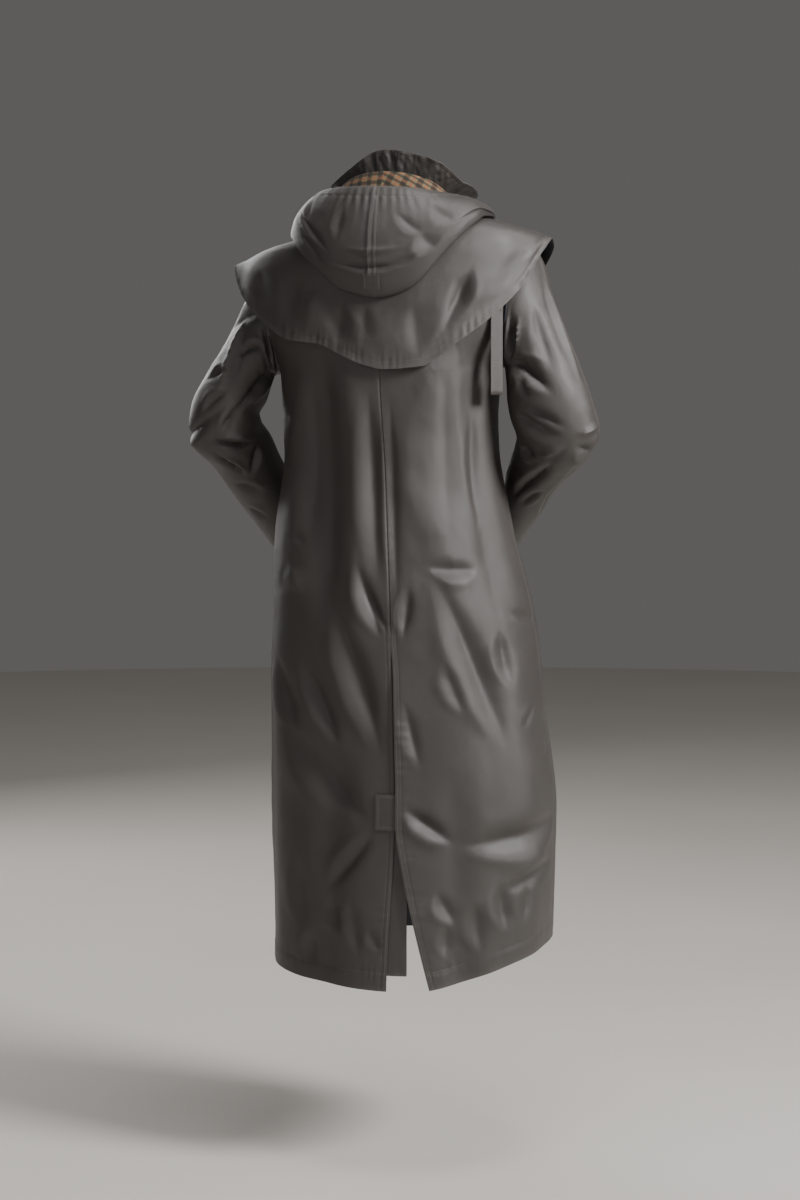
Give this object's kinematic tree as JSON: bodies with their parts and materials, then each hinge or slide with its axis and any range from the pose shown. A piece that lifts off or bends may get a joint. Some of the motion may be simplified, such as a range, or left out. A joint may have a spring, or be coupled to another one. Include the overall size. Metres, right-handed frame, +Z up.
{
  "type": "caped raincoat",
  "caption": "Full-length caped raincoat in coated grey-brown cloth, worn and hollow, with hood, checked hood lining, bent sleeves and a long back vent",
  "frame": {"origin": "middle of the neck opening, level with the nape, where the wearer's neck and shoulders hold the coat", "axes": "+X towards the wearer's left, +Y out from the wearer's back, +Z up"},
  "size_m": [0.6654, 0.4194, 1.303],
  "materials": {
    "coated_cloth": "fine plain weave with a satin waterproof coating",
    "check_lining": "soft brushed country check in beige, brown, orange, red and black",
    "press_stud": "dull plated metal caps"
  },
  "bodies": {
    "root": {"back_left": "coated_cloth", "back_right": "coated_cloth", "cape_back": "coated_cloth", "cape_front_left": "coated_cloth", "cape_front_right": "coated_cloth", "collar": "coated_cloth", "fly_stud_1": "press_stud", "fly_stud_2": "press_stud", "fly_stud_3": "press_stud", "fly_stud_4": "press_stud", "fly_stud_5": "press_stud", "fly_stud_6": "press_stud", "front_fly": "coated_cloth", "front_left": "coated_cloth", "front_right": "coated_cloth", "hood_left": "coated_cloth", "hood_lining": "check_lining", "hood_patch": "coated_cloth", "hood_right": "coated_cloth", "hood_strip": "coated_cloth", "pocket_left": "coated_cloth", "pocket_right": "coated_cloth", "sleeve_left_back": "coated_cloth", "sleeve_left_front": "coated_cloth", "sleeve_right_back": "coated_cloth", "sleeve_right_front": "coated_cloth", "strap_loop": "coated_cloth", "vent_tab": "coated_cloth", "vent_underlap": "coated_cloth"}
  },
  "joints": []
}
